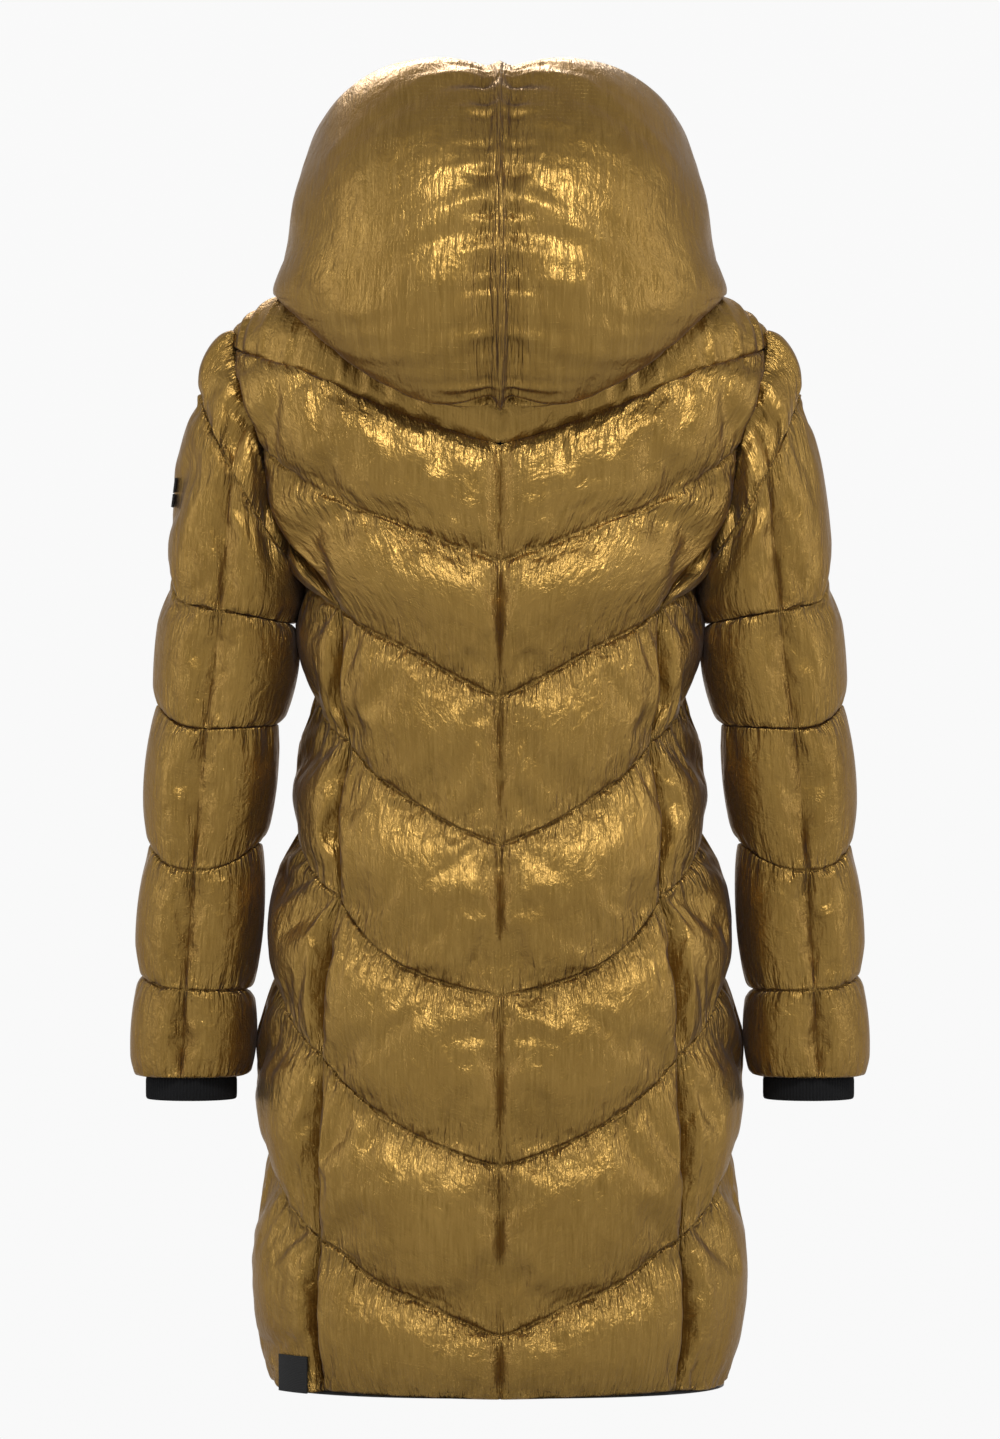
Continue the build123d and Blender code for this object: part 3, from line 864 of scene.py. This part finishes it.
def cap_point(angle, share):
    """From the free sleeve (share 0) over the cap to the armhole (share 1)."""
    cos, sin = np.cos(angle), np.sin(angle)
    centre, width, depth = (f(SLEEVE_FREE) for f in (sleeve_centre, sleeve_width, sleeve_depth))
    shape = 2 / 2.2
    start = np.stack(
        [
            centre + width * power(cos, shape),
            depth * power(sin, shape),
            SLEEVE_FREE + 0 * cos,
        ],
        -1,
    )
    height = (UNDERARM + SHOULDER_POINT + 2) / 2 + (SHOULDER_POINT + 2 - UNDERARM) / 2 * cos
    x = armhole(height)
    back = body_y(x, height, True)
    front = body_y(x, height, False)
    y = np.where(sin >= 0, back, front) * np.clip(np.abs(sin) * 6, 0, 1)
    end = np.stack([x, y, height], -1)
    outward = (1 + cos) / 2
    first = start + np.stack(
        [-18 * outward, 6 * sin, 18 + 102 * outward], -1
    )
    second = end + np.stack([6 + 32 * outward, 10 * sin, -8 - 14 * outward], -1)
    t = np.asarray(share)[..., None]
    return (
        start * (1 - t) ** 3
        + first * 3 * t * (1 - t) ** 2
        + second * 3 * t * t * (1 - t)
        + end * t**3
    )


def free_point(angle, height):
    shape = 2 / 2.2
    return np.stack(
        [
            sleeve_centre(height) + sleeve_width(height) * power(np.cos(angle), shape),
            sleeve_depth(height) * power(np.sin(angle), shape),
            height + 0 * angle,
        ],
        -1,
    )


def tucked_edge(patch):
    """Carries the sleeve's last row on under the body's edge, so no gap shows."""
    last = patch.points[-1]
    away = np.sign(last[:, 1]) * np.minimum(np.abs(last[:, 1]), 8)
    rows = []
    for inside in (5.0, 11.0, 18.0):
        share = inside / 18
        rows.append(last - np.stack([inside + 0 * away, away * share, 0 * away], -1))
    patch.points = np.concatenate([patch.points, np.array(rows)])
    held = np.ones((len(rows), patch.hold.shape[1]))
    patch.hold = np.concatenate([patch.hold, held])
    patch.gather = np.concatenate([patch.gather, held])


def sleeve_patches(low_line, high_line, seed, to_cap):
    """Quilted rows of the left sleeve, as an outer and an inner panel."""
    patches = []
    turn = 2 * math.pi
    spans = ((-SEAM_ANGLE, SEAM_ANGLE), (SEAM_ANGLE, turn - SEAM_ANGLE))
    for number, (first, last) in enumerate(spans):
        columns = int((last - first) * 58 / GRID)
        share = spread(columns, 0.06)
        angle = (first + (last - first) * share) % turn
        rows, hold, swell, near = [], [], [], []

        def add(row, step, gap):
            rows.append(row)
            hold.append(np.full(columns + 1, float(step in (0.0, 1.0))))
            swell.append(np.full(columns + 1, math.sin(math.pi * step)))
            near.append(np.full(columns + 1, math.exp(-gap / 14)))

        for k in range(low_line, high_line):
            bottom = sleeve_line(SLEEVE_LINES[k])(angle)
            top = sleeve_line(SLEEVE_LINES[k + 1])(angle)
            steps = spread(int(115 / GRID), 0.3)
            last_band = k + 1 == high_line
            for step in steps if last_band else steps[:-1]:
                height = bottom + (top - bottom) * step
                row = free_point(angle, np.minimum(height, SLEEVE_FREE))
                over = np.clip(height - SLEEVE_FREE, 0, None)
                row = np.where(over[:, None] > 0, cap_point(angle, over / CAP_LENGTH), row)
                add(row, step, min(step, 1 - step) * 115)
        if to_cap:
            # Two more bands lie over the cap, up to the armhole seam.
            top_line = sleeve_line(SLEEVE_LINES[-1])(angle)
            base = np.where(top_line > SLEEVE_FREE, (top_line - SLEEVE_FREE) / CAP_LENGTH, 0)
            below = np.minimum(top_line, SLEEVE_FREE)
            middle = 0.62 - 0.1 * (1 - np.cos(angle)) / 2
            for band, (low, high) in enumerate(((base, middle), (middle, 1 + 0 * base))):
                count = int((110 if band == 0 else 75) / GRID)
                steps = spread(count, 0.3)
                for step in steps if band else steps[:-1]:
                    t = low + (high - low) * step
                    row = cap_point(angle, t)
                    if band == 0:
                        start = free_point(angle, below)
                        lift = (1 - step) ** 2 * (below < SLEEVE_FREE)
                        row = row * (1 - lift[:, None]) + start * lift[:, None]
                    add(row, step, min(step, 1 - step) * 100)
                    if band:
                        swell[-1] = swell[-1] * 0.6
        points, hold = np.array(rows), np.array(hold)
        hold[:, 0] = hold[:, -1] = 1
        patch = Patch(points, hold)
        normal = patch.normals()
        middle_row = points[len(points) // 4]
        outward = middle_row - middle_row.mean(0)
        if number == 0:
            outward = outward + (30, 0, 0)
        if (normal[len(points) // 4] * outward)[..., :2].sum() < 0:
            patch.flip = True
            normal = -normal
        width = np.linalg.norm(np.diff(points, axis=1), axis=-1)
        s = np.concatenate([np.zeros((len(points), 1)), np.cumsum(width, axis=1)], 1)
        gathers = waves(s, seed + number, (10, 20)) * np.array(near) * 1.1
        gathers += waves(s, seed + 5 + number, (30, 60)) * 0.5
        edge = np.minimum(1, np.sin(np.pi * share) * 4.5) ** 0.6
        lift = (
            7.5 * np.array(swell) ** 0.55 * edge
            + gathers * (1 - hold)
            - TUCK * 0.8 * hold
        )
        patch.points = points + normal * lift[..., None]
        patch.gather = np.array(near)
        if to_cap:
            tucked_edge(patch)
        patches.append(patch)
    return patches


def flat_at_badge(patch):
    """Draws the sleeve's fabric out to the badge sewn on it."""
    low, high = coat_box("sleeve_badge")
    x, y, height = np.moveaxis(patch.points, -1, 0)
    half = (high[1] - low[1]) / 2
    off = np.abs(y - (low[1] + high[1]) / 2)
    past_z = np.maximum(low[2] - height, height - high[2])
    gap = np.hypot(np.maximum(off - half, 0), np.maximum(past_z, 0))
    free = np.where(x > low[0] - 30, smooth(gap, 2, 24), 1)
    bend = (high[0] - low[0] - 1.5) * np.minimum(off / half, 2.5) ** 2
    sewn = high[0] - 2.2 - bend
    patch.points[..., 0] = sewn * (1 - free) + x * free
    patch.hold = np.where((gap < 3) & (free < 1), 1.0, patch.hold)


LIMB = {
    "upper": (3, 4, True),
    "lower": (0, 3, False),
}
sleeves = {}
for half, (low, high, to_cap) in LIMB.items():
    left_patches = sleeve_patches(low, high, 101 if to_cap else 131, to_cap)
    for side in ("left", "right"):
        patches = on_side(left_patches, side)
        if side == "left" and half == "upper":
            patches = [left_patches[0].copy(), left_patches[1]]
            flat_at_badge(patches[0])
        nodes = [
            f"{side}_{half}_sleeve_{layer}"
            for layer in ("outer_shell", "inner_shell", "wadding")
        ]
        name = f"{side}_{half}_sleeve"
        sleeves[name] = build(name, patches, None, GOLD, nodes)
        pad(sleeves[name], 6.0, 0.035, 10)

# ---------------------------------------------------------------- hood

# Centre-seam point (y, z), height of the front point, half width, squareness, and how
# far the row's side is lifted above the plane through its two ends.
HOOD = [
    ((104, 905), 905, 146, 2.2, 60),
    ((124, 866), 902, 166, 2.2, 72),
    ((144, 850), 902, 178, 2.2, 82),
    ((164, 868), 908, 190, 2.2, 70),
    ((180, 905), 918, 194, 2.2, 46),
    ((187, 954), 935, 193, 2.2, 14),
    ((181, 1010), 960, 183, 2.2, 2),
    ((163, 1062), 975, 177, 2.3, -2),
    ((130, 1108), 983, 171, 2.35, -4),
    ((82, 1144), 989, 166, 2.45, -5),
    ((20, 1163), 994, 161, 2.5, -5),
    ((-48, 1167), 998, 156, 2.5, -3),
    ((-112, 1160), 1002, 149, 2.5, 0),
]


def hood_columns():
    index = range(len(HOOD))
    rows = [(i, y, z, f, w, n, l) for i, ((y, z), f, w, n, l) in zip(index, HOOD)]
    return [curve(rows, column) for column in range(1, 7)]


HOOD_CURVES = hood_columns()


def hood_point(row, turn, inset=0.0, forward=0.0):
    """A point of the left half: turn 0 at the centre seam, 1 at the front."""
    back_y, back_z, front_z, width, square, lift = (f(row) for f in HOOD_CURVES)
    front_y = -front_depth(front_z) - 4
    chord_y, chord_z = back_y - front_y, back_z - front_z
    chord = np.hypot(chord_y, chord_z)
    last = math.pi - 0.045
    angle = turn * last
    reach = (1 - 2 * inset / chord) * power(np.cos(angle), 2 / square) / 2
    x = (width - inset) * power(np.sin(angle), 2 / square)
    y = (back_y + front_y) / 2 + reach * chord_y - forward
    z = (back_z + front_z) / 2 + reach * chord_z + lift * np.sin(angle) ** 2
    return np.stack([x, y, z], -1)


def hood_patch():
    columns = int(430 / GRID)
    rows = int(560 / GRID)
    turn = spread(columns, 0.08)
    steps = np.linspace(0, len(HOOD) - 1, rows + 1)
    points = np.array([hood_point(step, turn) for step in steps])
    # The outer fabric turns in around the face opening.
    rim = [(3.0, 5.0), (9.0, 6.0), (16.0, 3.0), (21.0, -4.0)]
    turned = [hood_point(len(HOOD) - 1, turn, inset, forward) for inset, forward in rim]
    points = np.concatenate([points, np.array(turned)])
    hold = np.zeros(points.shape[:2])
    hold[0] = hold[rows] = hold[-1] = 1
    hold[rows + 1 :] = 1
    hold[:, 0] = hold[:, -1] = 1
    patch = Patch(points, hold)
    normal = patch.normals()
    if normal[rows // 2, columns // 3, 1] < 0:
        patch.flip = True
        normal = -normal
    seam = np.exp(-turn * 430 / 22)[None, :]
    length = np.linspace(0, 560, rows + 1)
    length = np.concatenate([length, length[-1] + np.arange(1, 5) * 5])[:, None]
    wide = np.exp(-turn * 430 / 60)[None, :]
    folds = waves(length + turn[None, :] * 90, 211, (11, 24)) * seam * 2.2
    folds += waves(length + turn[None, :] * 260, 227, (26, 60)) * wide * 2.2
    folds += noise3(points, 223, 80) * 1.3
    lift = folds * (1 - hold)
    near_seam = np.clip(turn * 430 / 60, 0, 1)[None, :]
    swell = 15 * np.sqrt(near_seam * (2 - near_seam)) - 15
    lift += np.where(hold > 0, swell * (hold < 1), swell)
    lift[rows:, 1:] = 0
    patch.points = points + normal * lift[..., None]
    patch.gather = seam + 0 * lift
    return patch


HOOD_LAYERS = ("shell", "wadding", "drape")
hood_nodes = [f"hood_{side}_{layer}" for side in ("left", "right") for layer in HOOD_LAYERS]
hood = build("hood_shell", both_sides([hood_patch()]), None, GOLD, hood_nodes)
pad(hood, 4.0, 0.03, 9)

run_cloth()
for piece in (*shell, hood, *sleeves.values()):
    finer(piece)

# Where each bend would start and end; nothing in this script bends at them. The shoulder's runs
# nearly square across the armhole seam.
HOOD_BEND = at(0, 30, 925), at(0, 30, 1045)
SHOULDER_START = np.array([178.0, 0, 733])
SHOULDER_BEND = SHOULDER_START, SHOULDER_START + np.array([0.92, 0, -0.39]) * 108
ELBOW_BEND = (254, 0, 574), (254, 0, 478)


def blend_arm(piece, side, half):
    """Works out an upper piece's shoulder bend or a lower one's elbow bend, but bends nothing:
    it only bakes the piece's placement into its points.
    """
    upper = half == "upper"
    sign = 1 if side == "left" else -1
    ends = [at(sign * x, y, z) for x, y, z in (SHOULDER_BEND if upper else ELBOW_BEND)]
    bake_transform(piece)


def dress(obj, material):
    obj.data.materials.clear()
    obj.data.materials.append(material)


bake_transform(hood)
for side in ("left", "right"):
    for half in ("upper", "lower"):
        blend_arm(sleeves[f"{side}_{half}_sleeve"], side, half)

# The badge, sewn on the sleeve, is a copy of its CAD part and goes through the same blend_arm
# call as the upper sleeve.
cad_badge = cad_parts["sleeve_badge"]
badge = bpy.data.objects.new("left_sleeve_badge", cad_badge.data.copy())
badge.data.transform(cad_badge.matrix_world)
bpy.context.scene.collection.objects.link(badge)
dress(badge, TAPE)
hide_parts("sleeve_badge")
blend_arm(badge, "left", "upper")

# ---------------------------------------------------------------- linings


def plain(name, patches, material, body, nodes=()):
    for patch in patches:
        patch.hold = np.zeros(patch.points.shape[:2])
    return build(name, patches, body, material, nodes)


def lining_body():
    heights = np.concatenate([[1.0, 3.0, 8.0, 18.0], np.linspace(40, 900, 60)])
    inset = np.concatenate([[1.0, 7.0, 13.0, 17.0], np.full(60, 20.0)])
    patches = []
    for back in (True, False):
        share = np.linspace(0, 1, 41)
        rows = []
        for height, depth in zip(heights, inset):
            h = height + 0 * share
            start = body_width(h)
            end = np.full_like(share, 0.0 if back else FRONT_EDGE)
            # Above the underarm the lining stops at the armhole.
            side_x = np.minimum(start, armhole(h) + 400 * (h < UNDERARM))
            row = body_point(share, h, side_x, end, back)
            scale_x = 1 - depth / start
            scale_y = 1 - depth / (back_depth(h) if back else front_depth(h))
            rows.append(row * np.stack([scale_x, scale_y, 1 + 0 * h], -1))
        # The lining runs on up to the neck.
        top = rows[-1]
        neck_y, neck_z = (70.0, 968.0) if back else (-112.0, 903.0)
        turn = share * math.pi / 2
        x = 90 * np.cos(turn)
        if not back:
            x = np.maximum(x, FRONT_EDGE)
        neck = np.stack([x, neck_y * np.sin(turn), 972 + (neck_z - 972) * np.sin(turn)], -1)
        for step in np.linspace(0.1, 1, 10):
            rise = np.array([0, 0, 12]) * math.sin(math.pi * step)
            rows.append(top * (1 - step) + neck * step + rise)
        patch = Patch(np.array(rows), None)
        # The lining's face points inwards.
        normal = patch.normals()
        if (normal[20, 20, 1] > 0) == back:
            patch.flip = True
        patches.append(patch)
    return patches


lining_nodes = ["back_lining", "left_front_lining", "right_front_lining"]
plain("coat_lining", both_sides(lining_body()), LINING, "coat", lining_nodes)


def sleeve_lining(low, high):
    angle = np.linspace(0, 2 * math.pi, 65)
    rows = []
    heights = np.linspace(low, high, 30)
    for height in heights:
        free = free_point(angle, np.full_like(angle, min(height, SLEEVE_FREE)))
        if height > SLEEVE_FREE:
            free = cap_point(angle, np.full_like(angle, (height - SLEEVE_FREE) / CAP_LENGTH))
        middle = free.mean(0)
        inset = 15 if height > low + 1 else 6
        scale = 1 - inset / 52
        rows.append(middle + (free - middle) * (scale, scale, 1))
    patch = Patch(np.array(rows), None)
    if (patch.normals()[10, 0] * (1, 0, 0)).sum() > 0:
        patch.flip = True
    return patch


for half, (low, high) in {"upper": (545, 820), "lower": (274, 560)}.items():
    left = sleeve_lining(low, high)
    for side in ("left", "right"):
        name = f"{side}_{half}_sleeve_inside"
        nodes = [f"{side}_{half}_sleeve_lining"]
        piece = plain(name, on_side([left], side), LINING, None, nodes)
        blend_arm(piece, side, half)


def hood_lining():
    turn = np.linspace(0, 1, 61)
    rows = [hood_point(row, turn, 22.0) for row in np.linspace(3.2, len(HOOD) - 1, 60)]
    patch = Patch(np.array(rows), None)
    if patch.normals()[30, 20, 1] > 0:
        patch.flip = True
    return both_sides([patch])


inner_hood = plain("hood_inside", hood_lining(), LINING, None, ["hood_lining"])
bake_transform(inner_hood)

# ---------------------------------------------------------------- cuffs


def cuff_patch():
    ribs = 84
    angle = np.linspace(0, 2 * math.pi, ribs * 4 + 1)
    ridge = 0.55 * np.cos(angle * ribs)
    rows = []
    profile = [
        (330, -15.0),
        (300, -14.0),
        (282, -8.0),
        (274, -1.0),
        (268, 0.0),
        (262, 0.0),
        (257, 0.0),
        (253.5, -0.2),
        (252, -0.9),
        (251.6, -1.8),
        (252, -2.8),
        (255, -3.2),
        (270, -3.2),
        (285, -12.0),
    ]
    for height, out in profile:
        reach_x, reach_y = 39.6 + out, 45.6 + out
        size = ridge * (1 if out > -5 else 0.4)
        x = sleeve_centre(272.0) + (reach_x + size) * np.cos(angle)
        y = (reach_y + size) * np.sin(angle)
        rows.append(np.stack([x, y, height + 0 * angle], -1))
    patch = Patch(np.array(rows), None)
    if patch.normals()[5, 0, 0] < 0:
        patch.flip = True
    return patch


left_cuff = cuff_patch()
for side in ("left", "right"):
    patches, nodes = on_side([left_cuff], side), [f"{side}_rib_cuff"]
    plain(f"{side}_cuff", patches, KNIT, f"{side}_forearm", nodes)

# ---------------------------------------------------------------- zips and trims

for node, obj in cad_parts.items():
    if any(word in node for word in ("teeth", "chain", "slider", "pull")):
        dress(obj, METAL)
    elif node.endswith("tape") or node in ("hanger_loop", "hem_label", "sleeve_badge"):
        dress(obj, TAPE)
    elif node.endswith("bag"):
        dress(obj, LINING_TRIM)
    elif node == "wind_flap" or node.endswith("welt"):
        dress(obj, GOLD_TRIM)

# ---------------------------------------------------------------- camera and light

VIEW_HEIGHT = 1.2663
VIEW_MIDDLE = 0.585
DISTANCE = 6.0

scene = bpy.context.scene
camera = bpy.data.objects.new("camera", bpy.data.cameras.new("camera"))
scene.collection.objects.link(camera)
camera.location = (0, SIDE_Y + DISTANCE, HEM_Z + VIEW_MIDDLE)
camera.rotation_euler = (math.radians(90), 0, math.radians(180))
camera.data.sensor_fit = "VERTICAL"
camera.data.sensor_height = 36.0
camera.data.lens = 36.0 * DISTANCE / VIEW_HEIGHT
scene.camera = camera


def floor_material():
    return Shader("studio_paper", (0.6, 0.6, 0.6), 0.9).material


FLOOR_DROP = 0.22
FLOOR_RADIUS = 1.6
floor_mesh = bpy.data.meshes.new("floor")
floor_z = HEM_Z - FLOOR_DROP
edge = [2 * math.pi * i / 128 for i in range(128)]
rim = [(FLOOR_RADIUS * math.cos(a), SIDE_Y + FLOOR_RADIUS * math.sin(a), floor_z) for a in edge]
floor_mesh.from_pydata(rim, [], [tuple(range(128))])
floor = bpy.data.objects.new("floor", floor_mesh)
floor_mesh.materials.append(floor_material())
scene.collection.objects.link(floor)


def area_light(name, location, target, width, height, watts, color=(1, 1, 1)):
    lamp = bpy.data.lights.new(name, "AREA")
    lamp.shape = "RECTANGLE"
    lamp.size, lamp.size_y = width, height
    lamp.energy = watts
    lamp.color = color
    obj = bpy.data.objects.new(name, lamp)
    obj.location = location
    way = Vector(target) - Vector(location)
    obj.rotation_euler = way.to_track_quat("-Z", "Y").to_euler()
    scene.collection.objects.link(obj)
    return obj


centre = (0, SIDE_Y, HEM_Z + 0.6)
area_light("key_back", (-0.3, 2.5, 1.9), centre, 1.3, 0.5, 70)
area_light("key_front", (0.3, -2.5, 1.5), centre, 1.3, 0.5, 45)
area_light("left_strip", (2.4, 0.7, 0.4), centre, 0.5, 2.2, 12, (0.93, 0.94, 1))
area_light("right_strip", (-2.4, 0.7, 0.4), centre, 0.5, 2.2, 12, (0.93, 0.94, 1))

world = bpy.data.worlds.new("studio")
world.use_nodes = True
scene.world = world
nodes, links = world.node_tree.nodes, world.node_tree.links
background = nodes["Background"]
place = nodes.new("ShaderNodeTexCoord")
split = nodes.new("ShaderNodeSeparateXYZ")
reach = nodes.new("ShaderNodeMapRange")
reach.inputs["From Min"].default_value = -1.0
ramp = nodes.new("ShaderNodeValToRGB")
links.new(place.outputs["Generated"], split.inputs[0])
links.new(split.outputs["Z"], reach.inputs["Value"])
links.new(reach.outputs["Result"], ramp.inputs[0])
links.new(ramp.outputs[0], background.inputs[0])
ramp.color_ramp.elements[0].color = (0.93, 0.93, 0.93, 1)
ramp.color_ramp.elements[1].color = (0.45, 0.45, 0.45, 1)
for place_z, bright in ((0.555, 0.95), (0.6, 0.5), (0.72, 0.85), (0.85, 0.8)):
    ramp.color_ramp.elements.new(place_z).color = (bright, bright, bright, 1)
background.inputs[1].default_value = 1.0
scene.view_settings.view_transform = "Standard"
